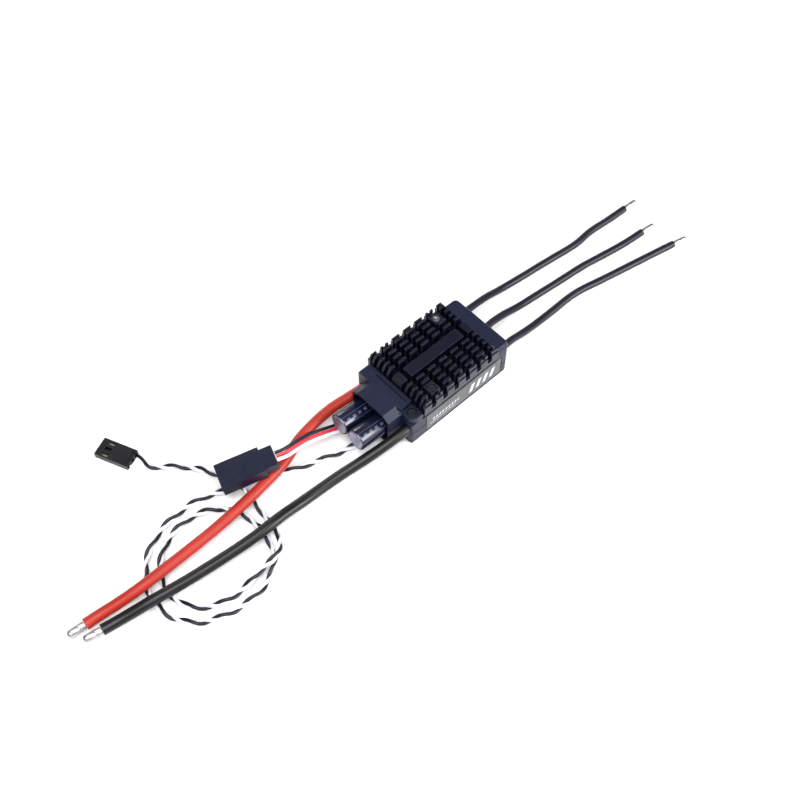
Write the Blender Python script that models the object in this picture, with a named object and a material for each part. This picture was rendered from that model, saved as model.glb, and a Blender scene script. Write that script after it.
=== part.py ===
"""An electronic speed controller for a multirotor motor: finned heat sink, two-part case, capacitors and leads.

Sizes are in millimetres and become metres where a mesh is made. +X runs from the capacitors to the motor
leads, +Y to the red power lead, +Z up. The origin is under the middle of the body, on its flat bottom.
"""

import math

import bmesh
import bpy
from mathutils import Matrix, Vector
from mathutils.geometry import interpolate_bezier

MM = 0.001
GAP = 0.3  # between pieces that touch on the real thing

# Body: driving dimensions
LENGTH = 51.5  # corner blocks to rear wall
WIDTH = 29.7
HOOD_REACH = 6.6  # hood ahead of the corner blocks
CAN_REACH = 11.5  # capacitors ahead of the hood
TOP = 16.8
SEAM = 5.75  # middle of the joint between the two case halves
SILL = 11.1  # top of the case side walls under the heat sink

FRONT = (HOOD_REACH + CAN_REACH - LENGTH) / 2  # X of the corner blocks' front faces
REAR = FRONT + LENGTH
HALF = WIDTH / 2

# Case
WALL = 1.3
FLOOR = 1.2
SHOULDER_DROP = 1.9
SHOULDER_IN = 0.55
SHOULDER_ROUND = 0.35
BOSS_TOP = 14.8
BOSS_BASE = 11.7  # the block under the round boss is square up to here
BOSS_RADIUS = 3.2
REAR_RADIUS = 2.4
FRONT_RADIUS = 0.9
INNER_RADIUS = 0.6
HOOD_Y = (-9.5, 10.3)
HOOD_WALL = 0.6
HOOD_ROOF = 1.0
HOOD_BEVEL = (3.0, 2.2)
DECK_END = FRONT + 5.7
CAP_START = FRONT + 44.7
LABEL_X = (FRONT + 7.5, FRONT + 47.5)
LABEL_Z = (0.9, 10.6)
LABEL_DEPTH = 0.5

# Heat sink: rows along X, columns along Y
ROWS = 7
ROW_LENGTH = 3.6
ROW_GAP = 2.2
COLUMNS = 4  # whole fins on each side of the middle bar, inside the outermost one
COLUMN_START = 4.95
COLUMN_PITCH = 2.65
FIN = 0.9
SINK_START = FRONT + 6.0
ROW_PITCH = ROW_LENGTH + ROW_GAP
SINK_END = SINK_START + ROWS * ROW_PITCH - ROW_GAP
SINK_BOTTOM = 11.4
SINK_PLATE = 12.6
SLOT_FLOOR = SINK_PLATE + 0.2
FIN_TOP = 21.0
BAR_TOP = 20.0
BAR_HALF = 2.36
OUTER_Y = (14.35, 15.15, 15.6)  # outermost fin: inner face, face above its ledge, face below it
OUTER_TOP = 20.2
LEDGE = 18.1
CURB = (13.5, 15.2)  # bottom and top of the strip that overhangs the case walls
SINK_SEAT = 14.45  # half width where the sink rests on the case walls
END_SLOPE = (18.2, 2.2)  # height where the end fins start to lean back, and how far they lean
NOTCH = (1.2, 1.3)
PEDESTAL_BOTTOM = 9.9
PEDESTAL_HALF = 8.5
PAD_LENGTH = 4.2
PAD_Y = (8.6, 13.25)
PAD_TOP = 19.9
SCREW_PLACES = ((SINK_START + 5.5 * ROW_PITCH - 1.0, 10.85), (SINK_START + 1.5 * ROW_PITCH - 1.0, -10.85))

# Boards and chips
POWER_BOARD_Z = (5.95, 7.2)
CONTROL_BOARD_Z = (3.0, 4.0)
MOSFET = (5.2, 6.2, 1.0)

# Capacitors
CAN_RADIUS = 4.2
SLEEVE_RADIUS = 4.4
CAN_LENGTH = 16.0
CAN_SPREAD = 9.1
CAN_MIDDLE = (0.4, 8.5)  # Y and Z between the two cans, at the mouth of the hood
CAN_LIFT = math.radians(5.0)
CAN_TURN = math.radians(1.5)

# Leads
POWER_RADIUS = 2.1
POWER_EXIT = (12.4, 7.7)
POWER_HOLE = 2.3
PHASE_RADIUS = 1.5
PHASE_EXIT = (10.9, 9.0)
STRAND_RADIUS = 0.65
PAIR_RADIUS = 1.3
TIP_LENGTH = 6.5
PIN_PITCH = 2.54

# Small plug and pin housing
PLUG = (14.1, 7.7, 2.6)
PLUG_WAY = (1.6, 0.6, 2.0)  # width, floor and roof of each way
PLUG_WINDOW = (1.3, 2.4, 5.2)  # width, then where it starts and ends from the open end
PLUG_TAB = (1.6, 1.0, 2.1)  # depth, width and floor of the tabs at the wire end
PLUG_CONTACT = (1.0, 0.9, 1.7)
PLUG_PLACE = (-97.7, 49.8, 0.02)  # middle of its wire end, on the ground
PLUG_TURN = math.radians(-66.6)
HOUSING = (17.0, 10.6, 5.0)
HOUSING_STEP = (4.8, 8.6, 3.8)
HOUSING_SOCKET = (9.0, 1.0, 0.8)  # depth, side wall and roof
HOUSING_WAY = 1.5
HOUSING_PIN = 0.7
HOUSING_PLACE = (-60.9, 10.1, 10.75)  # middle of its wire end
HOUSING_TURN = math.radians(-20.2)
HOUSING_LEAN = math.radians(-7.0)  # its open end lies lower, on the signal pair

MATERIALS = {
    "case_plastic": ((0.028, 0.034, 0.062), 0.45, 0.0),
    "label_film": ((0.16, 0.17, 0.19), 0.40, 0.0),
    "sink_aluminium": ((0.010, 0.011, 0.026), 0.38, 0.9),
    "screw_steel": ((0.45, 0.45, 0.47), 0.30, 1.0),
    "board_laminate": ((0.010, 0.060, 0.030), 0.45, 0.0),
    "chip_resin": ((0.015, 0.015, 0.016), 0.60, 0.0),
    "pad_silicone": ((0.35, 0.42, 0.50), 0.80, 0.0),
    "bus_copper": ((0.80, 0.42, 0.25), 0.30, 1.0),
    "can_aluminium": ((0.62, 0.61, 0.70), 0.32, 1.0),
    "sleeve_film": ((0.016, 0.020, 0.060), 0.25, 0.0),
    "bung_rubber": ((0.020, 0.020, 0.022), 0.70, 0.0),
    "red_silicone": ((0.72, 0.045, 0.030), 0.42, 0.0),
    "black_silicone": ((0.014, 0.014, 0.016), 0.42, 0.0),
    "white_pvc": ((0.78, 0.78, 0.80), 0.45, 0.0),
    "connector_nylon": ((0.014, 0.015, 0.030), 0.40, 0.0),
    "contact_plate": ((0.80, 0.68, 0.42), 0.25, 1.0),
    "tinned_copper": ((0.70, 0.71, 0.73), 0.28, 1.0),
}


def clear_scene():
    for obj in list(bpy.data.objects):
        bpy.data.objects.remove(obj)


def make_materials():
    for name, (colour, roughness, metallic) in MATERIALS.items():
        material = bpy.data.materials.new(name)
        material.use_nodes = True
        shader = material.node_tree.nodes["Principled BSDF"]
        shader.inputs["Base Color"].default_value = (*colour, 1.0)
        shader.inputs["Roughness"].default_value = roughness
        shader.inputs["Metallic"].default_value = metallic


# Solids, in millimetres


def loft(bm, rings):
    """A closed solid through rings of points, each ring the same length and anticlockwise seen from its end."""
    loops = [[bm.verts.new(point) for point in ring] for ring in rings]
    count = len(loops[0])
    for low, high in zip(loops, loops[1:]):
        for i in range(count):
            j = (i + 1) % count
            bm.faces.new((low[i], low[j], high[j], high[i]))
    bm.faces.new(reversed(loops[0]))
    bm.faces.new(loops[-1])


def prism(bm, outline, z0, z1):
    loft(bm, [[(x, y, z) for x, y in outline] for z in (z0, z1)])


def extrude_x(bm, outline, x0, x1):
    """An outline in Y and Z, anticlockwise seen from +X, carried along X."""
    loft(bm, [[(x, y, z) for y, z in outline] for x in (x0, x1)])


def box(bm, xs, ys, zs):
    prism(bm, ((xs[0], ys[0]), (xs[1], ys[0]), (xs[1], ys[1]), (xs[0], ys[1])), *zs)


def arc(centre, radius, start, stop, steps):
    """Points on an arc, from one angle in degrees to another."""
    angles = [math.radians(start + (stop - start) * i / steps) for i in range(steps + 1)]
    return [(centre[0] + radius * math.cos(a), centre[1] + radius * math.sin(a)) for a in angles]


def circle(centre, radius, sides=24):
    return arc(centre, radius, 0, 360 * (sides - 1) / sides, sides - 1)


def cylinder_x(bm, centre, radius, x0, x1, sides=24):
    extrude_x(bm, circle(centre, radius, sides), x0, x1)


def rounded(xs, ys, radii, steps=6):
    """A rectangle with a radius at each corner, from front right round to front left."""
    corners = ((xs[0], ys[0], 180), (xs[1], ys[0], 270), (xs[1], ys[1], 0), (xs[0], ys[1], 90))
    outline = []
    for (x, y, start), radius in zip(corners, radii):
        centre = (x + math.copysign(radius, sum(xs) / 2 - x), y + math.copysign(radius, sum(ys) / 2 - y))
        outline += arc(centre, radius, start, start + 90, steps)
    return outline


def finish(name, bm, material):
    """Turns a bmesh in millimetres into a named object in metres, with its origin in its middle."""
    bm.transform(Matrix.Scale(MM, 4))
    bmesh.ops.recalc_face_normals(bm, faces=bm.faces)
    middle = sum((v.co for v in bm.verts), Vector()) / len(bm.verts)
    bm.transform(Matrix.Translation(-middle))
    mesh = bpy.data.meshes.new(name)
    bm.to_mesh(mesh)
    bm.free()
    mesh.shade_smooth()
    mesh.set_sharp_from_angle(angle=math.radians(30))
    obj = bpy.data.objects.new(name, mesh)
    obj.location = middle
    bpy.context.scene.collection.objects.link(obj)
    if material:
        mesh.materials.append(bpy.data.materials[material])
    return obj


def combine(target, operation, *shapes):
    """Adds or cuts helper shapes; each shape is a function that fills a bmesh with solids that don't overlap."""
    for shape in shapes:
        bm = bmesh.new()
        shape(bm)
        helper = finish(f"{target.name}_{operation.lower()}_{len(target.modifiers)}", bm, None)
        helper.hide_render = True
        helper.display_type = "WIRE"
        modifier = target.modifiers.new(operation.title(), "BOOLEAN")
        modifier.operation = operation
        modifier.object = helper
        modifier.solver = "EXACT"


# Case


def footprint(inset=0.0):
    return rounded(
        (FRONT, REAR - inset),
        (-HALF + inset, HALF - inset),
        [max(radius - inset, SHOULDER_ROUND) for radius in (FRONT_RADIUS, REAR_RADIUS, REAR_RADIUS, FRONT_RADIUS)],
    )


def hood_outline(inset, top, bottom):
    """The hood seen along X: a box whose top edges are bevelled."""
    right, left = HOOD_Y[0] + inset, HOOD_Y[1] - inset
    across, drop = HOOD_BEVEL
    return (
        (right, bottom),
        (left, bottom),
        (left, top - drop),
        (left - across, top),
        (right + across, top),
        (right, top - drop),
    )


CASE_SCREW_PLACES = ((REAR - 3.6, 5.45), (REAR - 3.6, -5.45))
BOSS_PLACE = (FRONT + BOSS_RADIUS, -HALF + BOSS_RADIUS)


def cut_lead_holes(bm):
    for side in (-1, 1):
        cylinder_x(bm, (side * POWER_EXIT[0], POWER_EXIT[1]), POWER_HOLE, FRONT - 1, FRONT + 5)
    for side in (-1, 0, 1):
        cylinder_x(bm, (side * PHASE_EXIT[0], PHASE_EXIT[1]), PHASE_RADIUS + GAP, REAR - WALL - 1, REAR + 1)


def cut_label_recesses(bm):
    for side in (-1, 1):
        ys = sorted((side * (HALF - LABEL_DEPTH), side * (HALF + 1)))
        box(bm, LABEL_X, ys, LABEL_Z)


def make_bottom_shell():
    bm = bmesh.new()
    prism(bm, footprint(), 0, SEAM - GAP / 2)
    shell = finish("bottom_shell", bm, "case_plastic")
    inside = rounded((FRONT + WALL, REAR - WALL), (-HALF + WALL, HALF - WALL), [INNER_RADIUS] * 4)

    def tongue(bm):
        box(bm, (FRONT - HOOD_REACH, FRONT + 1), (HOOD_Y[0], HOOD_Y[1]), (0, FLOOR))

    def posts(bm):
        for place in SCREW_PLACES:
            prism(bm, circle(place, 2.1), FLOOR / 2, SEAM - GAP / 2)
        for place in CASE_SCREW_PLACES:
            prism(bm, circle(place, 2.6), FLOOR / 2, SEAM - GAP / 2)

    def front_opening(bm):
        box(bm, (FRONT - 1, FRONT + WALL + 1), (HOOD_Y[0] + HOOD_WALL, HOOD_Y[1] - HOOD_WALL), (FLOOR, SEAM + 1))

    def screw_holes(bm):
        for place in SCREW_PLACES:
            prism(bm, circle(place, 1.2), FLOOR + 0.6, SEAM + 1)
        for place in CASE_SCREW_PLACES:
            prism(bm, circle(place, 1.2), 1.6 - GAP, SEAM + 1)

    def screw_seats(bm):
        for place in CASE_SCREW_PLACES:
            prism(bm, circle(place, 2.1), -1, 1.6)

    combine(shell, "DIFFERENCE", lambda bm: prism(bm, inside, FLOOR, SEAM + 1))
    combine(shell, "UNION", tongue, posts)
    combine(shell, "DIFFERENCE", front_opening, screw_holes, screw_seats, cut_lead_holes, cut_label_recesses)


def make_top_shell():
    bm = bmesh.new()
    bottom = SEAM + GAP / 2
    rings = (
        (0.0, bottom),
        (0.0, TOP - SHOULDER_DROP),
        (SHOULDER_IN, TOP - SHOULDER_ROUND),
        (SHOULDER_IN + SHOULDER_ROUND, TOP),
    )
    loft(bm, [[(x, y, z) for x, y in footprint(inset)] for inset, z in rings])
    shell = finish("top_shell", bm, "case_plastic")
    cavity_y = (-HALF + WALL, HALF - WALL)
    roof = TOP - 1.4

    def hood(bm):
        extrude_x(bm, hood_outline(0, TOP, FLOOR + GAP), FRONT - HOOD_REACH, FRONT + 2)

    def below_hood(bm):
        box(bm, (FRONT - GAP, FRONT + 3), (-HALF - 1, HALF + 1), (0, bottom))

    def hood_inside(bm):
        extrude_x(bm, hood_outline(HOOD_WALL, TOP - HOOD_ROOF, 0), FRONT - HOOD_REACH - 1, FRONT + WALL + 1)

    def main_cavity(bm):
        box(bm, (FRONT + WALL, REAR - WALL), cavity_y, (bottom - 1, SILL + 0.4))

    def deck_cavity(bm):
        box(bm, (FRONT + WALL, DECK_END - 1.2), (HOOD_Y[0] + HOOD_WALL, HALF - 2.6), (SILL - 1, roof))

    def cap_cavity(bm):
        box(bm, (CAP_START + 1.2, REAR - 2.6), (-HALF + 2.6, HALF - 2.6), (SILL - 1, roof))

    def window(bm):
        box(bm, (DECK_END, CAP_START), (-HALF - 1, HALF + 1), (SILL, TOP + 1))

    def boss_step(bm):
        box(bm, (FRONT - 1, DECK_END + 1), (-HALF - 1, HOOD_Y[0] + 0.7), (BOSS_TOP, TOP + 1))

    def boss_corner(bm):
        box(bm, (FRONT - 1, BOSS_PLACE[0]), (-HALF - 1, BOSS_PLACE[1]), (BOSS_BASE, BOSS_TOP + GAP))

    def boss(bm):
        prism(bm, circle(BOSS_PLACE, BOSS_RADIUS - 0.05), BOSS_BASE - 1, BOSS_TOP)

    def deck_slit(bm):
        box(bm, (FRONT + 3.6, FRONT + 4.2), (HOOD_Y[0] + 1.3, HOOD_Y[1] - 1.7), (TOP - 0.8, TOP + 1))

    def boss_seat(bm):
        prism(bm, circle(BOSS_PLACE, 2.05), BOSS_TOP - 1.4, BOSS_TOP + 1)

    def boss_hole(bm):
        prism(bm, circle(BOSS_PLACE, 1.1), SILL - 1, BOSS_TOP - 1)

    def posts(bm):
        for place in CASE_SCREW_PLACES:
            prism(bm, circle(place, 2.6), bottom, SILL + 2)

    def post_holes(bm):
        for place in CASE_SCREW_PLACES:
            prism(bm, circle(place, 1.2), bottom - 1, SILL - 1)

    combine(shell, "UNION", hood)
    combine(shell, "DIFFERENCE", boss_step, boss_corner)
    combine(shell, "UNION", boss)
    combine(shell, "DIFFERENCE", below_hood, hood_inside, main_cavity, deck_cavity, cap_cavity, window)
    combine(shell, "UNION", posts)
    combine(shell, "DIFFERENCE", deck_slit, boss_seat, boss_hole, post_holes)
    combine(shell, "DIFFERENCE", cut_lead_holes, cut_label_recesses)


def make_labels():
    """One printed film in the shallow recess on each side."""
    inner = HALF - LABEL_DEPTH + GAP * 0.9
    for side, name in ((-1, "label_right"), (1, "label_left")):
        bm = bmesh.new()
        ys = sorted((side * inner, side * HALF))
        box(bm, (LABEL_X[0] + GAP, LABEL_X[1] - GAP), ys, (LABEL_Z[0] + GAP, LABEL_Z[1] - GAP))
        finish(name, bm, "label_film")


# Heat sink


def comb_outline():
    """The extruded section: a plate on a pedestal, fins at each side of a middle bar, a strip over each wall."""
    side = [(BAR_HALF, BAR_TOP), (BAR_HALF, SINK_PLATE)]
    for i in range(COLUMNS):
        near = COLUMN_START + i * COLUMN_PITCH - FIN / 2
        far = near + FIN
        side += [(near, SINK_PLATE), (near, FIN_TOP), (far, FIN_TOP), (far, SINK_PLATE)]
    inner, upper, lower = OUTER_Y
    side += [(inner, SINK_PLATE), (inner, OUTER_TOP), (upper, OUTER_TOP), (upper, LEDGE), (lower, LEDGE)]
    side += [(lower, CURB[0]), (SINK_SEAT, CURB[0]), (SINK_SEAT, SINK_BOTTOM)]
    side += [(PEDESTAL_HALF, SINK_BOTTOM), (PEDESTAL_HALF, PEDESTAL_BOTTOM)]
    return [(-y, z) for y, z in side] + side[::-1]


def row_start(row):
    return SINK_START + row * ROW_PITCH


def make_heat_sink():
    bm = bmesh.new()
    extrude_x(bm, comb_outline(), SINK_START, SINK_END)
    sink = finish("heat_sink", bm, "sink_aluminium")
    clear = FIN_TOP + 1
    inner, outside = OUTER_Y[0] - GAP, OUTER_Y[2] + 1

    def cross_cuts(bm):
        """The milled gaps between rows. The first and last go right across, the others stop at the bar."""
        for row in range(ROWS - 1):
            xs = (row_start(row) + ROW_LENGTH, row_start(row + 1))
            if row in (0, ROWS - 2):
                box(bm, xs, (-inner, inner), (SLOT_FLOOR, clear))
                continue
            for side in (-1, 1):
                box(bm, xs, sorted((side * BAR_HALF, side * inner)), (SLOT_FLOOR, clear))

    def curb_cuts(bm):
        """The same gaps through the outermost fins, down to the top of the strip."""
        for row in range(ROWS - 1):
            xs = (row_start(row) + ROW_LENGTH, row_start(row + 1))
            for side in (-1, 1):
                box(bm, xs, sorted((side * (inner - GAP), side * outside)), (CURB[1], clear))

    def end_slopes(bm):
        """The fins of the end rows lean back at their outer ends."""
        start, lean = END_SLOPE
        for edge, way in ((SINK_START, 1), (SINK_END, -1)):
            points = ((edge - way, start), (edge, start), (edge + way * lean, clear), (edge - way, clear))
            loft(bm, [[(x, y, z) for x, z in points] for y in (-outside, outside)])

    def pads(bm):
        for x, y in SCREW_PLACES:
            ys = sorted(math.copysign(edge, y) for edge in PAD_Y)
            box(bm, (x - PAD_LENGTH / 2, x + PAD_LENGTH / 2), ys, (SINK_PLATE - 0.5, PAD_TOP))

    def above_pads(bm):
        for x, y in SCREW_PLACES:
            ys = sorted(math.copysign(edge, y) for edge in (PAD_Y[0] - GAP, PAD_Y[1] + GAP))
            box(bm, (x - PAD_LENGTH / 2 - 0.1, x + PAD_LENGTH / 2 + 0.1), ys, (PAD_TOP, clear))

    def screw_holes(bm):
        for place in SCREW_PLACES:
            prism(bm, circle(place, 1.2), SINK_BOTTOM - 1, PAD_TOP - 1)

    def screw_seats(bm):
        for place in SCREW_PLACES:
            prism(bm, circle(place, 1.75), PAD_TOP - 1.3, PAD_TOP + 1)

    def edge_notches(bm):
        """The outermost fins beside the screws are notched."""
        width, depth = NOTCH
        for row in (1, ROWS - 2):
            middle = row_start(row) + ROW_LENGTH / 2
            for side in (-1, 1):
                ys = sorted((side * inner, side * outside))
                box(bm, (middle - width / 2, middle + width / 2), ys, (OUTER_TOP - depth, clear))

    combine(sink, "DIFFERENCE", cross_cuts, curb_cuts, end_slopes)
    combine(sink, "UNION", pads)
    combine(sink, "DIFFERENCE", above_pads, screw_holes, screw_seats, edge_notches)


# Fasteners


def make_screw(name, place, head_z, tip_z, head_radius, head_height, shank_radius, way=1):
    """A pan head with a hexagon socket, its shank pointing down, or up where way is -1."""
    bm = bmesh.new()
    levels = sorted((head_z, head_z - way * head_height))
    prism(bm, circle(place, head_radius), *levels)
    screw = finish(name, bm, "screw_steel")
    shank = sorted((tip_z, head_z - way * head_height * 0.5))
    socket = sorted((head_z - way * head_height * 0.6, head_z + way))
    combine(screw, "UNION", lambda bm: prism(bm, circle(place, shank_radius, 16), *shank))
    combine(screw, "DIFFERENCE", lambda bm: prism(bm, circle(place, head_radius * 0.5, 6), *socket))


def make_screws():
    for place, name in zip(SCREW_PLACES, ("sink_screw_rear", "sink_screw_front")):
        make_screw(name, place, PAD_TOP - 0.1, FLOOR + 1.0, 1.45, 0.9, 0.9)
    for place, name in zip(CASE_SCREW_PLACES, ("case_screw_left", "case_screw_right")):
        make_screw(name, place, 0.3, SILL - 1.4, 1.75, 1.0, 0.9, way=-1)
    make_screw("boss_screw", BOSS_PLACE, BOSS_TOP - 0.15, SILL - 0.2, 1.75, 0.95, 0.8)


# Boards, chips and bars


def make_plate(name, xs, ys, zs, material, holes=()):
    bm = bmesh.new()
    box(bm, xs, ys, zs)
    plate = finish(name, bm, material)
    for place, radius in holes:
        combine(plate, "DIFFERENCE", lambda bm, p=place, r=radius: prism(bm, circle(p, r), zs[0] - 1, zs[1] + 1))


def make_electronics():
    board_x = (FRONT + 5.0, REAR - 7.2)
    make_plate("power_board", board_x, (-13.2, 13.2), POWER_BOARD_Z, "board_laminate",
               [(place, 1.3) for place in SCREW_PLACES])
    make_plate("control_board", (FRONT + 9, REAR - 9), (-8.2, 8.2), CONTROL_BOARD_Z, "board_laminate")
    on_power = POWER_BOARD_Z[1] + GAP
    on_control = CONTROL_BOARD_Z[1] + GAP
    for i in range(6):
        x = SINK_START + 6.0 + (i % 3) * 12.0
        y = -7.9 if i < 3 else 1.7
        zs = (on_power, on_power + MOSFET[2])
        make_plate(f"mosfet_{i + 1}", (x, x + MOSFET[0]), (y, y + MOSFET[1]), zs, "chip_resin")
    pad_z = (on_power + MOSFET[2] + GAP, PEDESTAL_BOTTOM - GAP)
    make_plate("thermal_pad", (SINK_START + 4, SINK_END - 4), (-PEDESTAL_HALF, PEDESTAL_HALF), pad_z, "pad_silicone")
    make_plate("microcontroller", (-2.5, 4.5), (-3.5, 3.5), (on_control, on_control + 0.9), "chip_resin")
    for i in range(3):
        x = FRONT + 12 + i * 11.5
        make_plate(f"gate_driver_{i + 1}", (x, x + 4), (4.4, 7.6), (on_control, on_control + 0.8), "chip_resin")
    header_x = (FRONT + 9.6, FRONT + 11.4)
    header_z = (on_control, POWER_BOARD_Z[0] - GAP)
    make_plate("board_header", header_x, (-6.5, 3.5), header_z, "chip_resin")
    for side, name in ((1, "bus_bar_plus"), (-1, "bus_bar_minus")):
        ys = sorted((side * 9.0, side * 12.0))
        make_plate(name, (FRONT + 3.4, FRONT + 9.5), ys, (on_power, on_power + 1.0), "bus_copper")
    make_plate("capacitor_board", (FRONT + 1.7, FRONT + 2.9), (HOOD_Y[0] + 1.2, HOOD_Y[1] - 1.2), (8.0, 14.6),
               "board_laminate")


# Capacitors


def turned_x(bm, profile, sides=24):
    """A solid turned about X, from pairs of position along X and radius, closed at both ends."""
    loft(bm, [[(x, y, z) for y, z in circle((0, 0), radius, sides)] for x, radius in profile])


def tilt_can(obj, y):
    """Sets a piece made along X at the origin into the hood, lifted and turned towards the red lead."""
    middle = Vector((FRONT - HOOD_REACH, y, CAN_MIDDLE[1])) * MM
    lean = Matrix.Rotation(-CAN_TURN, 4, "Z") @ Matrix.Rotation(CAN_LIFT, 4, "Y")
    obj.matrix_world = Matrix.Translation(middle) @ lean @ Matrix.Translation(obj.location)


def make_capacitor(side, y):
    """A can pressed over a rubber bung, in a shrunk sleeve that covers its rims."""
    start = -CAN_REACH
    end = start + CAN_LENGTH
    bm = bmesh.new()
    turned_x(bm, ((start, CAN_RADIUS - 0.7), (start + 0.4, CAN_RADIUS - GAP), (end - 1.6, CAN_RADIUS - GAP)))
    tilt_can(finish(f"capacitor_can_{side}", bm, "can_aluminium"), y)
    bm = bmesh.new()
    turned_x(bm, ((end - 1.3, CAN_RADIUS - 0.8), (end, CAN_RADIUS - 0.8)))
    tilt_can(finish(f"capacitor_bung_{side}", bm, "bung_rubber"), y)
    bm = bmesh.new()
    turned_x(bm, ((start + 0.1, SLEEVE_RADIUS - 0.35), (start + 0.5, SLEEVE_RADIUS), (end - 1.7, SLEEVE_RADIUS),
                  (end - 1.3, SLEEVE_RADIUS - 0.25)))
    sleeve = finish(f"capacitor_sleeve_{side}", bm, "sleeve_film")
    bm = bmesh.new()
    turned_x(bm, ((start - 1, CAN_RADIUS), (end + 1, CAN_RADIUS)))
    bore = finish(f"sleeve_bore_{side}", bm, None)
    bore.hide_render = True
    bore.display_type = "WIRE"
    cut = sleeve.modifiers.new("Bore", "BOOLEAN")
    cut.object = bore
    cut.solver = "EXACT"
    tilt_can(sleeve, y)
    tilt_can(bore, y)


def make_capacitors():
    make_capacitor("left", CAN_MIDDLE[0] + CAN_SPREAD / 2)
    make_capacitor("right", CAN_MIDDLE[0] - CAN_SPREAD / 2)


# Leads


def smooth_points(route, spacing):
    """Evenly spaced points on a smooth curve through the route's own points."""
    points = [Vector(p) for p in route]
    ends = [2 * points[0] - points[1], *points, 2 * points[-1] - points[-2]]
    fine = []
    for before, start, stop, after in zip(ends, ends[1:], ends[2:], ends[3:]):
        chord = (stop - start).length
        first = (stop - before).normalized() * chord / 3
        second = (after - start).normalized() * chord / 3
        fine += interpolate_bezier(start, start + first, stop - second, stop, 12)[:-1]
    fine.append(points[-1])
    lengths = [0.0]
    for a, b in zip(fine, fine[1:]):
        lengths.append(lengths[-1] + (b - a).length)
    count = max(2, round(lengths[-1] / spacing))
    result, i = [], 0
    for step in range(count + 1):
        goal = lengths[-1] * step / count
        while i < len(fine) - 2 and lengths[i + 1] < goal:
            i += 1
        share = (goal - lengths[i]) / (lengths[i + 1] - lengths[i])
        result.append(fine[i].lerp(fine[i + 1], share))
    return result, lengths[-1]


def make_tube(name, route, radius, spacing, material, sides=2):
    """A lead as a round tube along its route."""
    points, length = smooth_points(route, spacing)
    curve = bpy.data.curves.new(name, "CURVE")
    curve.dimensions = "3D"
    curve.bevel_depth = radius * MM
    curve.bevel_resolution = sides
    curve.use_fill_caps = True
    spline = curve.splines.new("POLY")
    spline.points.add(len(points) - 1)
    for slot, point in zip(spline.points, points):
        slot.co = (*(point * MM), 1.0)
    curve.materials.append(bpy.data.materials[material])
    obj = bpy.data.objects.new(name, curve)
    bpy.context.scene.collection.objects.link(obj)
    print(f"{name}: {length:.1f} mm")
    return points


def make_tip(name, points, radius):
    """The stripped and tinned end of a lead, in line with its last stretch."""
    way = (points[-1] - points[-2]).normalized()
    start = points[-1] + way * GAP
    bm = bmesh.new()
    turned_x(bm, ((0, radius), (TIP_LENGTH - 0.6, radius * 0.96), (TIP_LENGTH, radius * 0.6)), 16)
    tip = finish(name, bm, "tinned_copper")
    turn = way.to_track_quat("X", "Z").to_matrix().to_4x4()
    tip.matrix_world = Matrix.Translation(start * MM) @ turn @ Matrix.Translation(tip.location)


RED_ROUTE = (
    (-13.4, 12.4, 7.7), (-18.0, 12.4, 7.65), (-23.0, 13.1, 7.3), (-31.4, 14.1, 6.7), (-40.7, 13.7, 6.0),
    (-49.0, 12.4, 5.3), (-55.0, 10.1, 5.1), (-60.5, 8.5, 5.1), (-67.0, 7.4, 5.05), (-76.8, 6.1, 5.05),
    (-91.3, 4.9, 4.8), (-104.8, 4.5, 4.8), (-118.0, 4.3, 5.1), (-127.0, 4.4, 5.0), (-134.0, 5.6, 3.4),
    (-141.0, 7.0, 2.2), (-147.5, 7.6, 2.15),
)
BLACK_ROUTE = (
    (-13.4, -12.4, 7.7), (-18.0, -12.4, 7.6), (-23.0, -12.1, 7.1), (-29.3, -11.3, 6.0), (-37.7, -9.7, 4.2),
    (-46.2, -8.1, 2.8), (-55.1, -7.2, 2.15), (-64.0, -6.8, 2.4), (-70.5, -7.0, 3.9), (-77.0, -7.4, 5.1),
    (-84.0, -7.4, 5.1), (-92.5, -6.7, 4.8), (-107.8, -5.0, 4.8), (-117.0, -3.8, 5.1), (-126.0, -2.3, 5.05),
    (-132.0, -0.8, 3.7), (-138.0, 0.8, 2.3), (-144.5, 2.0, 2.15),
)
PHASE_ROUTES = {
    "a": ((32.3, 10.9, 9.0), (36.5, 10.95, 8.9), (41.0, 11.6, 8.0), (50.5, 12.7, 5.0), (58.5, 13.1, 2.3),
          (65.0, 12.7, 1.55), (71.5, 11.9, 1.55), (78.5, 11.2, 1.55), (87.0, 10.2, 1.55), (100.0, 8.8, 1.55),
          (109.6, 9.3, 1.55), (119.8, 8.5, 1.55), (130.0, 8.0, 1.55)),
    "b": ((32.3, 0.0, 9.0), (36.5, 0.1, 8.9), (41.0, 0.8, 8.0), (49.0, 1.7, 5.2), (58.0, 1.8, 2.4),
          (68.0, 1.2, 1.55), (80.7, -0.1, 1.55), (93.7, -1.4, 1.55), (106.0, -3.5, 1.55), (115.0, -4.9, 1.55),
          (125.3, -5.8, 1.55)),
    "c": ((32.3, -10.9, 9.0), (36.5, -10.9, 8.9), (41.0, -10.5, 8.0), (48.5, -9.9, 5.2), (57.0, -9.1, 2.6),
          (67.0, -8.7, 1.55), (78.0, -8.7, 1.55), (85.0, -9.6, 1.55), (92.5, -11.3, 1.55), (104.5, -13.8, 1.55),
          (116.7, -16.3, 1.55), (124.9, -18.0, 1.55), (130.0, -19.1, 1.55)),
}
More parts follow.
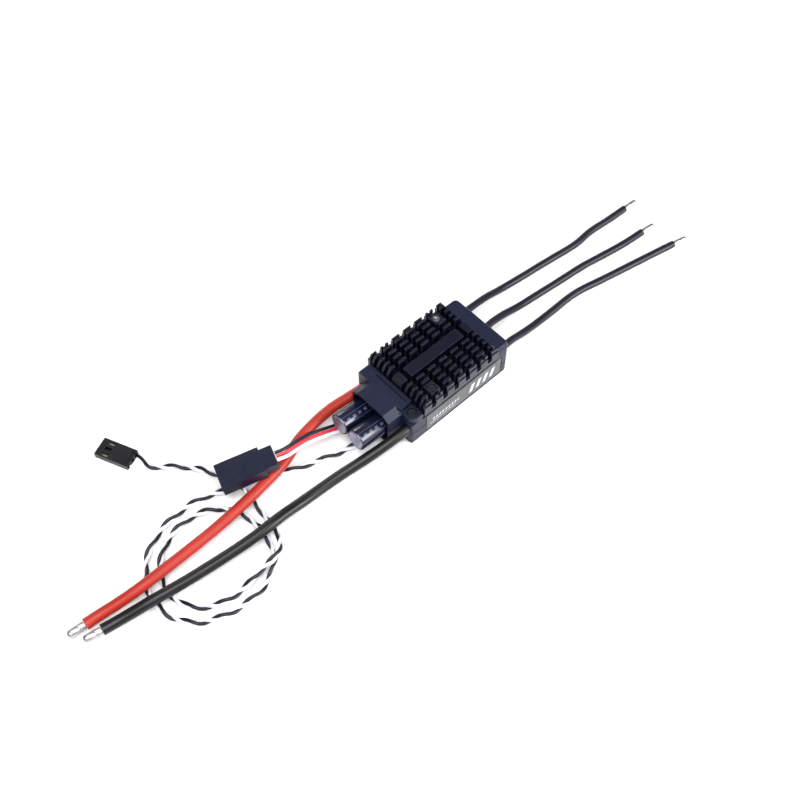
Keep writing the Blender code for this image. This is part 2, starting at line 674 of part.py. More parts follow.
PAIR_ROUTE = (
    (-23.2, -2.5, 2.6), (-27.0, -2.3, 1.9), (-33.8, -1.2, 1.35), (-44.6, 1.7, 1.35), (-56.0, 6.0, 1.35),
    (-61.5, 8.2, 1.35), (-67.4, 11.3, 1.35), (-72.5, 13.2, 1.35), (-80.4, 16.4, 1.35), (-87.5, 19.2, 1.35),
    (-96.0, 20.6, 1.35), (-105.5, 19.8, 1.35), (-114.0, 16.4, 1.35), (-120.5, 10.6, 1.35), (-124.8, 2.6, 1.35),
    (-125.2, -5.0, 1.35), (-123.4, -12.0, 1.35), (-118.5, -18.0, 1.35), (-110.0, -22.0, 1.35),
    (-100.0, -23.4, 1.35), (-91.0, -21.6, 1.35), (-84.5, -16.6, 1.35), (-81.6, -9.6, 1.35), (-81.0, -2.0, 1.35),
    (-82.5, 6.0, 1.35), (-87.5, 12.6, 1.35), (-96.0, 16.0, 1.35), (-105.0, 15.4, 1.35), (-112.4, 11.6, 1.35),
    (-118.0, 5.0, 1.35), (-119.8, -3.0, 1.35), (-117.4, -11.0, 1.35), (-110.5, -16.8, 1.35),
    (-101.0, -18.6, 1.9), (-92.0, -18.2, 3.9), (-84.0, -17.4, 4.3), (-78.8, -12.9, 2.4), (-77.2, -8.0, 1.4),
    (-76.6, -2.0, 1.35), (-75.9, 4.0, 1.35), (-75.6, 8.2, 1.5), (-75.6, 11.4, 3.3), (-75.9, 14.8, 4.3),
    (-77.2, 19.5, 3.4),
    (-80.2, 26.5, 1.7), (-82.6, 31.0, 1.35), (-86.9, 36.2, 1.35), (-91.0, 39.6, 1.35), (-94.0, 42.8, 1.35),
    (-96.3, 46.3, 1.35), (-97.55, 49.4, 1.35),
)
LEAD_ROUTE = (
    (-23.2, 5.6, 2.6), (-27.0, 5.7, 2.7), (-32.9, 7.0, 3.8), (-38.7, 8.2, 5.5), (-44.6, 9.0, 7.4),
    (-50.5, 9.0, 9.6), (-57.1, 8.72, 11.25), (-60.6, 9.99, 10.79),
)
LEAD_PITCH = 1.6
GROMMETS = {"signal_grommet": (-2.5, 3.4), "auxiliary_grommet": (5.6, 5.4)}  # Y and width


def sideways(route, offset):
    """The route moved to its left, seen from above, by an offset."""
    moved = []
    for i, point in enumerate(route):
        before, after = Vector(route[max(i - 1, 0)]), Vector(route[min(i + 1, len(route) - 1)])
        way = (after - before).to_2d().normalized()
        moved.append((point[0] - way.y * offset, point[1] + way.x * offset, point[2]))
    return moved


def make_grommets():
    start = FRONT - HOOD_REACH
    for name, (y, width) in GROMMETS.items():
        xs = (start + 0.4, start + 5.0)
        make_plate(name, xs, (y - width / 2, y + width / 2), (FLOOR + GAP, 3.4), "bung_rubber")


def place_on_lead(obj, place, turn, lean=0.0):
    """Moves a piece made with its wire end at the origin, open end towards -X."""
    spin = Matrix.Rotation(turn, 4, "Z") @ Matrix.Rotation(lean, 4, "Y")
    obj.matrix_world = Matrix.Translation(Vector(place) * MM) @ spin @ Matrix.Translation(obj.location)


def finish_on_lead(name, bm, material, cuts, place, turn, lean=0.0, joined=()):
    """A piece on a lead: its helper shapes are placed with it."""
    obj = finish(name, bm, material)
    combine(obj, "UNION", *joined)
    combine(obj, "DIFFERENCE", *cuts)
    for modifier in obj.modifiers:
        place_on_lead(modifier.object, place, turn, lean)
    place_on_lead(obj, place, turn, lean)


def make_plug():
    """A three-way plug with contacts in its two outer ways."""
    length, width, height = PLUG
    bm = bmesh.new()
    box(bm, (-length, 0), (-width / 2, width / 2), (0, height))
    ways = (-PIN_PITCH, 0, PIN_PITCH)
    across, floor, roof = PLUG_WAY
    opening, start, stop = PLUG_WINDOW
    depth, tab, step = PLUG_TAB

    def channels(bm):
        for y in ways:
            box(bm, (-length - 1, 1), (y - across / 2, y + across / 2), (floor, roof))

    def windows(bm):
        for y in ways:
            sides = (y - opening / 2, y + opening / 2)
            box(bm, (-length + start, -length + stop), sides, (roof - 0.5, height + 1))

    def shoulders(bm):
        """The wire end is narrower between its two side tabs."""
        box(bm, (-depth, 1), (-width / 2 + tab, width / 2 - tab), (step, height + 1))

    finish_on_lead("signal_plug", bm, "connector_nylon", (channels, windows, shoulders), PLUG_PLACE, PLUG_TURN)
    thick, low, high = PLUG_CONTACT
    for y, name in ((PIN_PITCH, "plug_contact_ground"), (-PIN_PITCH, "plug_contact_signal")):
        bm = bmesh.new()
        box(bm, (-length + 0.8, -3.0), (y - thick / 2, y + thick / 2), (low, high))
        finish_on_lead(name, bm, "contact_plate", (), PLUG_PLACE, PLUG_TURN)


def make_pin_housing():
    """An open-ended housing with three pins, stepped down where the wires enter."""
    length, width, height = HOUSING
    step_length, step_width, step_height = HOUSING_STEP
    depth, side_wall, roof = HOUSING_SOCKET
    end = -length - step_length
    bm = bmesh.new()
    box(bm, (end, -step_length), (-width / 2, width / 2), (-height / 2, height / 2))
    ways = (-PIN_PITCH, 0, PIN_PITCH)
    placed = (HOUSING_PLACE, HOUSING_TURN, HOUSING_LEAN)

    def neck(bm):
        box(bm, (-step_length - 1, 0), (-step_width / 2, step_width / 2), (-step_height / 2, step_height / 2))

    def socket(bm):
        across, high = width / 2 - side_wall, height / 2 - roof
        box(bm, (end - 1, end + depth), (-across, across), (-high, high))

    def channels(bm):
        reach = HOUSING_WAY / 2
        for y in ways:
            box(bm, (end + depth - 1, 1), (y - reach, y + reach), (-reach, reach))

    finish_on_lead("pin_housing", bm, "connector_nylon", (socket, channels), *placed, joined=(neck,))
    half = HOUSING_PIN / 2
    for i, y in enumerate(ways):
        bm = bmesh.new()
        box(bm, (end + 2.0, -2.0), (y - half, y + half), (-half, half))
        finish_on_lead(f"housing_pin_{i + 1}", bm, "contact_plate", (), *placed)


def make_leads():
    for name, route in (("power_lead_red", RED_ROUTE), ("power_lead_black", BLACK_ROUTE)):
        colour = "red_silicone" if name.endswith("red") else "black_silicone"
        points = make_tube(name, route, POWER_RADIUS, 7.0, colour, sides=3)
        make_tip(name.replace("lead", "tip"), points, POWER_RADIUS * 0.72)
    for name, route in PHASE_ROUTES.items():
        points = make_tube(f"phase_lead_{name}", route, PHASE_RADIUS, 6.0, "black_silicone")
        make_tip(f"phase_tip_{name}", points, PHASE_RADIUS * 0.74)
    make_tube("signal_pair", PAIR_ROUTE, PAIR_RADIUS, 5.5, "white_pvc", sides=2)
    for i, colour in enumerate(("black_silicone", "red_silicone", "white_pvc")):
        route = sideways(LEAD_ROUTE, (i - 1) * LEAD_PITCH)
        make_tube(f"auxiliary_lead_{colour.split('_')[0]}", route, STRAND_RADIUS, 3.0, colour)


clear_scene()
make_materials()
make_bottom_shell()
make_top_shell()
make_labels()
make_heat_sink()
make_screws()
make_electronics()
make_capacitors()
make_grommets()
make_leads()
make_plug()
make_pin_housing()
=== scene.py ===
# %% [markdown]
# # An electronic speed controller
#
# This small box drives the brushless motor of a radio-controlled model. It takes heavy current from a
# battery through a red and a black lead, and feeds it to the motor through three thinner leads. A twisted
# pair of thin wires carries the command signal, and three more wires carry spare signals. A black heat
# sink with rows of fins covers the power board, and two capacitors lie out of a hood at the battery end.
#
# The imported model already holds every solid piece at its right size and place. This script dresses it:
# it rounds the edges, gives each piece its finish, and makes the soft leads as they really are.

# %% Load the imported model
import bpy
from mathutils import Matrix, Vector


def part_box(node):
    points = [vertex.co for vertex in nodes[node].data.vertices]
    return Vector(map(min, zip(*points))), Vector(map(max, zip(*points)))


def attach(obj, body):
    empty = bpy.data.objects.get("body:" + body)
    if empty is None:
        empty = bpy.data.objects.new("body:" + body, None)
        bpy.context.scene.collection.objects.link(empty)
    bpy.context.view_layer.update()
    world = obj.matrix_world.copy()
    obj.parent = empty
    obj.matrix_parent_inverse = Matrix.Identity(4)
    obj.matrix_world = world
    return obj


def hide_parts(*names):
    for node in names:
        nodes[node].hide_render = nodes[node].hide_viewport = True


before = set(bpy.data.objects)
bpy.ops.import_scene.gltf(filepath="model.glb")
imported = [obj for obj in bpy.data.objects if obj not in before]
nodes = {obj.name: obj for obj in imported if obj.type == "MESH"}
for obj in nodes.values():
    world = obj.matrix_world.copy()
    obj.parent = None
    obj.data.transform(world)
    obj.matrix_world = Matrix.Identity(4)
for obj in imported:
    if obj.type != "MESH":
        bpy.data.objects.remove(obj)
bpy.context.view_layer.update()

print("solid pieces:", len(nodes))

# %% Tools used below
import math

import bmesh
import bpy
from mathutils import Matrix, Vector
from mathutils.geometry import interpolate_bezier

MM = 0.001
scene = bpy.context.scene

# %% [markdown]
# ## The camera
#
# A camera is placed by where it stands, which way it looks and how long its lens is. This one stands in
# front of the capacitors, to the right of the case, and looks down steeply, as when the controller lies
# on a bench in front of a person. A lens of about 50 mm keeps the far leads from looking small.

# %% Camera
camera_data = bpy.data.cameras.new("bench_camera")
camera_data.lens = 51.19
camera_data.clip_start = 0.01
camera_data.clip_end = 10.0
camera = bpy.data.objects.new("bench_camera", camera_data)
camera.location = (-0.17025, -0.17609, 0.37111)
camera.rotation_euler = (math.radians(90 - 57.11), 0.0, math.radians(-42.98))
scene.collection.objects.link(camera)
scene.camera = camera
print("camera looks down by 57 degrees with a lens of", camera_data.lens, "mm")

# %% [markdown]
# ## The routes of the leads
#
# A lead is a fixed length of something flexible, so it is made from a route: a short list of points
# that a smooth curve runs through. The points are in millimetres. Where two leads
# cross, the upper one rises over the lower one in a long low hump. Z is the height over the bench.

# %% Routes of the supply leads
RED_ROUTE = (
    (-13.4, 12.4, 7.7), (-18.0, 12.4, 7.65), (-23.0, 13.1, 7.3), (-31.4, 14.1, 6.7), (-40.7, 13.7, 6.0),
    (-49.0, 12.4, 5.3), (-55.0, 10.1, 5.1), (-60.5, 8.5, 5.1), (-67.0, 7.4, 5.05), (-76.8, 6.1, 5.05),
    (-91.3, 4.9, 4.8), (-104.8, 4.5, 4.8), (-118.0, 4.3, 5.1), (-127.0, 4.4, 5.0), (-134.0, 5.6, 3.4),
    (-141.0, 7.0, 2.2), (-147.5, 7.6, 2.15),
)
BLACK_ROUTE = (
    (-13.4, -12.4, 7.7), (-18.0, -12.4, 7.6), (-23.0, -12.1, 7.1), (-29.3, -11.3, 6.0), (-37.7, -9.7, 4.2),
    (-46.2, -8.1, 2.8), (-55.1, -7.2, 2.15), (-64.0, -6.8, 2.4), (-70.5, -7.0, 3.9), (-77.0, -7.4, 5.1),
    (-84.0, -7.4, 5.1), (-92.5, -6.7, 4.8), (-107.8, -5.0, 4.8), (-117.0, -3.8, 5.1), (-126.0, -2.3, 5.05),
    (-132.0, -0.8, 3.7), (-138.0, 0.8, 2.3), (-144.5, 2.0, 2.15),
)
print("route points:", len(RED_ROUTE), "and", len(BLACK_ROUTE))

# %% Routes of the motor leads
MOTOR_ROUTES = {
    "a": ((32.3, 10.9, 9.0), (36.5, 10.95, 8.9), (41.0, 11.6, 8.0), (50.5, 12.7, 5.0), (58.5, 13.1, 2.3),
          (65.0, 12.7, 1.55), (71.5, 11.9, 1.55), (78.5, 11.2, 1.55), (87.0, 10.2, 1.55), (100.0, 8.8, 1.55),
          (109.6, 9.3, 1.55), (119.8, 8.5, 1.55), (130.0, 8.0, 1.55)),
    "b": ((32.3, 0.0, 9.0), (36.5, 0.1, 8.9), (41.0, 0.8, 8.0), (49.0, 1.7, 5.2), (58.0, 1.8, 2.4),
          (68.0, 1.2, 1.55), (80.7, -0.1, 1.55), (93.7, -1.4, 1.55), (106.0, -3.5, 1.55), (115.0, -4.9, 1.55),
          (125.3, -5.8, 1.55)),
    "c": ((32.3, -10.9, 9.0), (36.5, -10.9, 8.9), (41.0, -10.5, 8.0), (48.5, -9.9, 5.2), (57.0, -9.1, 2.6),
          (67.0, -8.7, 1.55), (78.0, -8.7, 1.55), (85.0, -9.6, 1.55), (92.5, -11.3, 1.55),
          (104.5, -13.8, 1.55), (116.7, -16.3, 1.55), (124.9, -18.0, 1.55), (130.0, -19.1, 1.55)),
}

# %% Routes of the signal pair and the spare wires
PAIR_ROUTE = (
    (-23.2, -2.5, 2.6), (-27.0, -2.3, 1.9), (-33.8, -1.2, 1.35), (-44.6, 1.7, 1.35), (-56.0, 6.0, 1.35),
    (-61.5, 8.2, 1.35), (-67.4, 11.3, 1.35), (-72.5, 13.2, 1.35), (-80.4, 16.4, 1.35), (-87.5, 19.2, 1.35),
    (-96.0, 20.6, 1.35), (-105.5, 19.8, 1.35), (-114.0, 16.4, 1.35), (-120.5, 10.6, 1.35),
    (-124.8, 2.6, 1.35), (-125.2, -5.0, 1.35), (-123.4, -12.0, 1.35), (-118.5, -18.0, 1.35),
    (-110.0, -22.0, 1.35), (-100.0, -23.4, 1.35), (-91.0, -21.6, 1.35), (-84.5, -16.6, 1.35),
    (-81.6, -9.6, 1.35), (-81.0, -2.0, 1.35), (-82.5, 6.0, 1.35), (-87.5, 12.6, 1.35), (-96.0, 16.0, 1.35),
    (-105.0, 15.4, 1.35), (-112.4, 11.6, 1.35), (-118.0, 5.0, 1.35), (-119.8, -3.0, 1.35),
    (-117.4, -11.0, 1.35), (-110.5, -16.8, 1.35), (-101.0, -18.6, 1.9), (-92.0, -18.2, 3.9),
    (-84.0, -17.4, 4.3), (-78.8, -12.9, 2.4), (-77.2, -8.0, 1.4), (-76.6, -2.0, 1.35), (-75.9, 4.0, 1.35),
    (-75.6, 8.2, 1.5), (-75.6, 11.4, 3.3), (-75.9, 14.8, 4.3), (-77.2, 19.5, 3.4), (-80.2, 26.5, 1.7),
    (-82.6, 31.0, 1.35), (-86.9, 36.2, 1.35), (-91.0, 39.6, 1.35), (-94.0, 42.8, 1.35), (-96.3, 46.3, 1.35),
    (-97.55, 49.4, 1.35),
)
SPARE_ROUTE = (
    (-23.2, 5.6, 2.6), (-27.0, 5.7, 2.7), (-32.9, 7.0, 3.8), (-38.7, 8.2, 5.5), (-44.6, 9.0, 7.4),
    (-50.5, 9.0, 9.6), (-57.1, 8.72, 11.25), (-60.6, 9.99, 10.79),
)
SPARE_PITCH = 1.6
print("signal pair route points:", len(PAIR_ROUTE))

# %% [markdown]
# A smooth curve comes from Bezier pieces between the route's points. Each point's handles lie along the
# line between its two neighbours, so the curve has no kinks. It is then read again at even steps, because
# evenly spaced points give a tube even sides.

# %% Smooth points of a route
def smooth_line(route, step):
    """Even points, in metres, of a smooth curve through a route in millimetres, and its length."""
    points = [Vector(p) * MM for p in route]
    ends = [2 * points[0] - points[1], *points, 2 * points[-1] - points[-2]]
    fine = []
    for before, start, stop, after in zip(ends, ends[1:], ends[2:], ends[3:]):
        chord = (stop - start).length
        first = (stop - before).normalized() * chord / 3
        second = (after - start).normalized() * chord / 3
        fine += interpolate_bezier(start, start + first, stop - second, stop, 24)[:-1]
    fine.append(points[-1])
    reached = [0.0]
    for a, b in zip(fine, fine[1:]):
        reached.append(reached[-1] + (b - a).length)
    count = max(2, round(reached[-1] / (step * MM)))
    line, i = [], 0
    for turn in range(count + 1):
        goal = reached[-1] * turn / count
        while i < len(fine) - 2 and reached[i + 1] < goal:
            i += 1
        share = (goal - reached[i]) / (reached[i + 1] - reached[i])
        line.append(fine[i].lerp(fine[i + 1], share))
    return line, reached[-1]


# %% [markdown]
# ## The finishes
#
# A finish is a Principled shader with patterns in front of it. Every real surface varies: moulded plastic
# has a fine grain, and handled pieces have a haze of marks. Patterns that several finishes share are
# node groups, built once here. A group puts out masks and heights, and each finish decides what they do.

# %% Node helpers
def add_node(tree, kind, values=(), **settings):
    """A node with its settings and the values of its unlinked inputs."""
    made = tree.nodes.new(kind)
    for key, value in settings.items():
        setattr(made, key, value)
    for key, value in dict(values).items():
        made.inputs[key].default_value = value
    return made


def join(tree, source, target):
    """Links two sockets."""
    tree.links.new(source, target)


def new_group(name, inputs, outputs):
    """A node group with float inputs and outputs, and its two end nodes."""
    tree = bpy.data.node_groups.new(name, "ShaderNodeTree")
    for label, value in inputs.items():
        socket = tree.interface.new_socket(label, in_out="INPUT", socket_type="NodeSocketFloat")
        socket.default_value = value
    for label in outputs:
        tree.interface.new_socket(label, in_out="OUTPUT", socket_type="NodeSocketFloat")
    return tree, tree.nodes.new("NodeGroupInput"), tree.nodes.new("NodeGroupOutput")


def math_node(tree, operation, first, second=0.0, clamp=False):
    """A Math node. Each operand is a number or a socket."""
    made = add_node(tree, "ShaderNodeMath", operation=operation, use_clamp=clamp)
    for socket, value in zip(made.inputs, (first, second)):
        if isinstance(value, (int, float)):
            socket.default_value = value
        else:
            join(tree, value, socket)
    return made.outputs[0]


# %% [markdown]
# **Grain** is the fine roughness that a mould or a drawing die leaves. Noise at two sizes makes it: the
# small one is the texture, and the large one makes it uneven. The pattern is read in object space, which
# is metres here, so a scale of 3000 gives bumps a third of a millimetre wide.

# %% Grain group
grain, grain_in, grain_out = new_group("grain", {"Scale": 3000.0, "Unevenness": 0.4}, ("Height", "Tone"))
place = add_node(grain, "ShaderNodeTexCoord")
fine = add_node(grain, "ShaderNodeTexNoise", {"Detail": 3.0, "Roughness": 0.6})
join(grain, place.outputs["Object"], fine.inputs["Vector"])
join(grain, grain_in.outputs["Scale"], fine.inputs["Scale"])
coarse = add_node(grain, "ShaderNodeTexNoise", {"Detail": 2.0})
join(grain, place.outputs["Object"], coarse.inputs["Vector"])
join(grain, math_node(grain, "MULTIPLY", grain_in.outputs["Scale"], 0.06), coarse.inputs["Scale"])
uneven = math_node(grain, "MULTIPLY", coarse.outputs["Fac"], grain_in.outputs["Unevenness"])
join(grain, math_node(grain, "ADD", fine.outputs["Fac"], uneven), grain_out.inputs["Height"])
join(grain, coarse.outputs["Fac"], grain_out.inputs["Tone"])

# %% [markdown]
# ** Worn and highlit edges** come from comparing the surface's own direction with the direction it would have if
# its edges were rounded. On a flat place the two agree. Near an edge they part, and that is the mask. On most
# pieces it marks wear. On the heat sink its colour is a painted highlight along the fin edges.

# %% Edge wear and painted highlight group
edge_wear_and_highlight, edge_wear_and_highlight_in, edge_wear_and_highlight_out = new_group("worn_and_highlit_edge", {"Amount": 1.0, "Patchiness": 0.5}, ("Mask",))
# This mask carries edge wear, and on the heat sink a painted highlight.
soft_edge = add_node(edge_wear_and_highlight, "ShaderNodeBevel", {"Radius": 0.00022}, samples=6)
true_face = add_node(edge_wear_and_highlight, "ShaderNodeNewGeometry")
agree = add_node(edge_wear_and_highlight, "ShaderNodeVectorMath", operation="DOT_PRODUCT")
join(edge_wear_and_highlight, soft_edge.outputs["Normal"], agree.inputs[0])
join(edge_wear_and_highlight, true_face.outputs["Normal"], agree.inputs[1])
parted = math_node(edge_wear_and_highlight, "SUBTRACT", 1.0, agree.outputs["Value"])
sharp = math_node(edge_wear_and_highlight, "MULTIPLY", parted, 4.0, clamp=True)
patches = add_node(edge_wear_and_highlight, "ShaderNodeTexNoise", {"Scale": 900.0, "Detail": 4.0})
join(edge_wear_and_highlight, add_node(edge_wear_and_highlight, "ShaderNodeTexCoord").outputs["Object"], patches.inputs["Vector"])
thinned = math_node(edge_wear_and_highlight, "MULTIPLY", patches.outputs["Fac"], edge_wear_and_highlight_in.outputs["Patchiness"])
kept = math_node(edge_wear_and_highlight, "SUBTRACT", sharp, thinned, clamp=True)
join(edge_wear_and_highlight, math_node(edge_wear_and_highlight, "MULTIPLY", kept, edge_wear_and_highlight_in.outputs["Amount"], clamp=True), edge_wear_and_highlight_out.inputs["Mask"])

# %% [markdown]
# **Handling marks** are a faint haze with soft borders: skin oil and dust make some places duller. They
# only change how sharp the reflections are.

# %% Handling group
handled, handled_in, handled_out = new_group(
    "handling", {"Low": 0.4, "High": 0.55, "Scale": 90.0}, ("Roughness",))
haze = add_node(handled, "ShaderNodeTexNoise", {"Detail": 6.0, "Roughness": 0.65, "Distortion": 0.6})
join(handled, add_node(handled, "ShaderNodeTexCoord").outputs["Object"], haze.inputs["Vector"])
join(handled, handled_in.outputs["Scale"], haze.inputs["Scale"])
spread = add_node(handled, "ShaderNodeMapRange", {"From Min": 0.3, "From Max": 0.7})
join(handled, haze.outputs["Fac"], spread.inputs["Value"])
join(handled, handled_in.outputs["Low"], spread.inputs["To Min"])
join(handled, handled_in.outputs["High"], spread.inputs["To Max"])
join(handled, spread.outputs["Result"], handled_out.inputs["Roughness"])

# %% [markdown]
# Every finish starts the same way, so one helper makes it: a Principled shader, the grain as a bump, the
# handling as roughness, a second colour where the large grain is light, and a third on edges: wear on most
# pieces, and a painted highlight on the heat sink.

# %% Finish helper
def use_group(tree, group, **values):
    """Places a node group with its own values."""
    made = add_node(tree, "ShaderNodeGroup", node_tree=group)
    for key, value in values.items():
        made.inputs[key].default_value = value
    return made


def mix_colour(tree, mask, first, second):
    """Colour first where the mask is 0, second where it is 1. Each is a colour or a socket."""
    made = add_node(tree, "ShaderNodeMix", data_type="RGBA", clamp_factor=True)
    join(tree, mask, made.inputs["Factor"])
    for socket, value in ((made.inputs[6], first), (made.inputs[7], second)):
        if isinstance(value, tuple):
            socket.default_value = (*value, 1.0)
        else:
            join(tree, value, socket)
    return made.outputs[2]


def new_finish(name, dark, light, rough, grain_scale=3000.0, bump=0.1, metallic=0.0, edge=None, edge_wear_and_highlight_amount=0.6,
               specular=0.5):
    """A finish with grain, handling marks and optional lighter edges, which are wear and, on the heat sink, a
    painted highlight. Returns the material and its shader.
    """
    material = bpy.data.materials.new(name)
    material.use_nodes = True
    tree = material.node_tree
    shader = tree.nodes["Principled BSDF"]
    shader.inputs["Metallic"].default_value = metallic
    shader.inputs["Specular IOR Level"].default_value = specular
    texture = use_group(tree, grain, Scale=grain_scale)
    colour = mix_colour(tree, texture.outputs["Tone"], dark, light)
    if edge is not None:
        # Lighter edges: wear, and on the heat sink a painted highlight.
        edge_wear_and_highlight_mask = use_group(tree, edge_wear_and_highlight, Amount=edge_wear_and_highlight_amount)
        colour = mix_colour(tree, edge_wear_and_highlight_mask.outputs["Mask"], colour, edge)
    join(tree, colour, shader.inputs["Base Color"])
    marks = use_group(tree, handled, Low=rough[0], High=rough[1])
    join(tree, marks.outputs["Roughness"], shader.inputs["Roughness"])
    relief = add_node(tree, "ShaderNodeBump", {"Strength": bump, "Distance": 0.0001})
    join(tree, texture.outputs["Height"], relief.inputs["Height"])
    join(tree, relief.outputs["Normal"], shader.inputs["Normal"])
    return material, shader


# %% [markdown]
# The case is moulded in a dark slate-blue plastic with a satin surface. The heat sink is aluminium,
# anodised almost black, which keeps a trace of blue. Its lighter edge colour is a painted highlight: the thin
# bright lines along the fin edges.

# %% Case and heat sink finishes
case_plastic, _ = new_finish("case_plastic", (0.004, 0.006, 0.020), (0.008, 0.010, 0.030), (0.36, 0.5),
                             grain_scale=4000.0, bump=0.12, edge=(0.04, 0.05, 0.08), edge_wear_and_highlight_amount=0.5, specular=0.3)
# The heat sink's edge colour is a painted highlight along the fin edges.
sink_aluminium, _ = new_finish("sink_aluminium", (0.001, 0.0015, 0.008), (0.003, 0.004, 0.014), (0.26, 0.38),
                               grain_scale=6000.0, bump=0.06, edge=(0.20, 0.21, 0.24), edge_wear_and_highlight_amount=0.8,
                               specular=0.35)
print("finishes:", case_plastic.name, sink_aluminium.name)

# %% [markdown]
# Bare metal needs little colour and a lot of reflection. The screws are zinc-plated steel, the ends of
# the capacitors are drawn aluminium, and the contacts are plated bronze. The bared lead ends are copper
# strands that solder has run over, so they are bright and soft-edged.

# %% Metal finishes
screw_steel, _ = new_finish("screw_steel", (0.24, 0.24, 0.27), (0.38, 0.38, 0.40), (0.22, 0.36),
                            grain_scale=5000.0, bump=0.08, metallic=1.0, edge=(0.70, 0.70, 0.72), edge_wear_and_highlight_amount=0.7)
black_steel, _ = new_finish("black_steel", (0.012, 0.012, 0.02), (0.022, 0.022, 0.034), (0.3, 0.42),
                            grain_scale=5000.0, bump=0.08, metallic=0.5, edge=(0.16, 0.16, 0.18), edge_wear_and_highlight_amount=0.5)
can_aluminium, _ = new_finish("can_aluminium", (0.22, 0.22, 0.30), (0.34, 0.34, 0.43), (0.26, 0.40),
                              grain_scale=3500.0, bump=0.10, metallic=0.85)
contact_plate, _ = new_finish("contact_plate", (0.66, 0.56, 0.38), (0.84, 0.76, 0.58), (0.2, 0.32),
                              grain_scale=6000.0, bump=0.05, metallic=1.0)
tinned_copper, _ = new_finish("tinned_copper", (0.40, 0.38, 0.37), (0.62, 0.61, 0.62), (0.22, 0.38),
                              grain_scale=2600.0, bump=0.35, metallic=1.0)
bus_copper, _ = new_finish("bus_copper", (0.70, 0.33, 0.19), (0.85, 0.47, 0.30), (0.25, 0.4), metallic=1.0)

# %% [markdown]
# Silicone insulation is soft and slightly matt, with a broad highlight. The thin signal wires are harder
# and shinier. The plugs are black nylon, and the parts inside the case are laminate and moulded resin.

# %% Insulation, nylon and board finishes
red_silicone, _ = new_finish("red_silicone", (0.30, 0.012, 0.006), (0.40, 0.022, 0.010), (0.38, 0.5),
                             grain_scale=1800.0, bump=0.10, specular=0.35)
black_silicone, _ = new_finish("black_silicone", (0.002, 0.002, 0.003), (0.005, 0.005, 0.006), (0.3, 0.4),
                               grain_scale=1800.0, bump=0.10, specular=0.35)
motor_silicone, _ = new_finish("motor_silicone", (0.003, 0.003, 0.008), (0.008, 0.007, 0.014), (0.34, 0.46),
                               grain_scale=1800.0, bump=0.12, specular=0.35)
white_pvc, _ = new_finish("white_pvc", (0.66, 0.66, 0.72), (0.80, 0.80, 0.84), (0.3, 0.42), bump=0.05)
black_pvc, _ = new_finish("black_pvc", (0.003, 0.003, 0.006), (0.007, 0.007, 0.012), (0.28, 0.4), bump=0.05,
                          specular=0.35)
red_pvc, _ = new_finish("red_pvc", (0.50, 0.012, 0.030), (0.68, 0.030, 0.055), (0.28, 0.4), bump=0.05)
connector_nylon, _ = new_finish("connector_nylon", (0.003, 0.004, 0.016), (0.006, 0.008, 0.026), (0.34, 0.48),
                                grain_scale=4000.0, bump=0.12, edge=(0.05, 0.06, 0.10), edge_wear_and_highlight_amount=0.5,
                                specular=0.35)
plug_nylon, _ = new_finish("plug_nylon", (0.003, 0.003, 0.005), (0.006, 0.006, 0.009), (0.32, 0.46),
                           grain_scale=4000.0, bump=0.12, edge=(0.05, 0.05, 0.07), edge_wear_and_highlight_amount=0.5, specular=0.35)
bung_rubber, _ = new_finish("bung_rubber", (0.012, 0.012, 0.014), (0.024, 0.024, 0.026), (0.6, 0.75),
                            bump=0.2)
board_laminate, _ = new_finish("board_laminate", (0.006, 0.045, 0.020), (0.012, 0.075, 0.035), (0.3, 0.45))
chip_resin, _ = new_finish("chip_resin", (0.012, 0.012, 0.013), (0.020, 0.020, 0.021), (0.5, 0.65), bump=0.2)
pad_silicone, _ = new_finish("pad_silicone", (0.30, 0.37, 0.45), (0.38, 0.45, 0.54), (0.7, 0.85), bump=0.2)

# %% [markdown]
# ## The side labels
#
# Each long side of the case carries a grey printed film in a shallow recess. Makers print a name and a
# rating there. This one carries neither: four slanted bars stand for the large print and a thin rule
# with a dotted line stands for the small print. The marks are drawn by the shader from the position
# along the case, so they stay sharp at any distance.

# %% Print group
printed, printed_in, printed_out = new_group(
    "printed_bars",
    {"Start": 0.0, "End": 0.01, "Low": 0.0, "High": 0.01, "Pitch": 0.005, "Fill": 0.6, "Slant": 0.3},
    ("Mask",))
spot = add_node(printed, "ShaderNodeSeparateXYZ")
join(printed, add_node(printed, "ShaderNodeTexCoord").outputs["Object"], spot.inputs["Vector"])
along = math_node(printed, "ADD", spot.outputs["X"],
                  math_node(printed, "MULTIPLY", spot.outputs["Z"], printed_in.outputs["Slant"]))
after = math_node(printed, "GREATER_THAN", along, printed_in.outputs["Start"])
before = math_node(printed, "LESS_THAN", along, printed_in.outputs["End"])
above = math_node(printed, "GREATER_THAN", spot.outputs["Z"], printed_in.outputs["Low"])
below = math_node(printed, "LESS_THAN", spot.outputs["Z"], printed_in.outputs["High"])
turn = math_node(printed, "DIVIDE", math_node(printed, "SUBTRACT", along, printed_in.outputs["Start"]),
                 printed_in.outputs["Pitch"])
bar = math_node(printed, "LESS_THAN", math_node(printed, "FRACT", turn), printed_in.outputs["Fill"])
frame_mask = math_node(printed, "MULTIPLY", math_node(printed, "MULTIPLY", after, before),
                       math_node(printed, "MULTIPLY", above, below))
join(printed, math_node(printed, "MULTIPLY", frame_mask, bar), printed_out.inputs["Mask"])

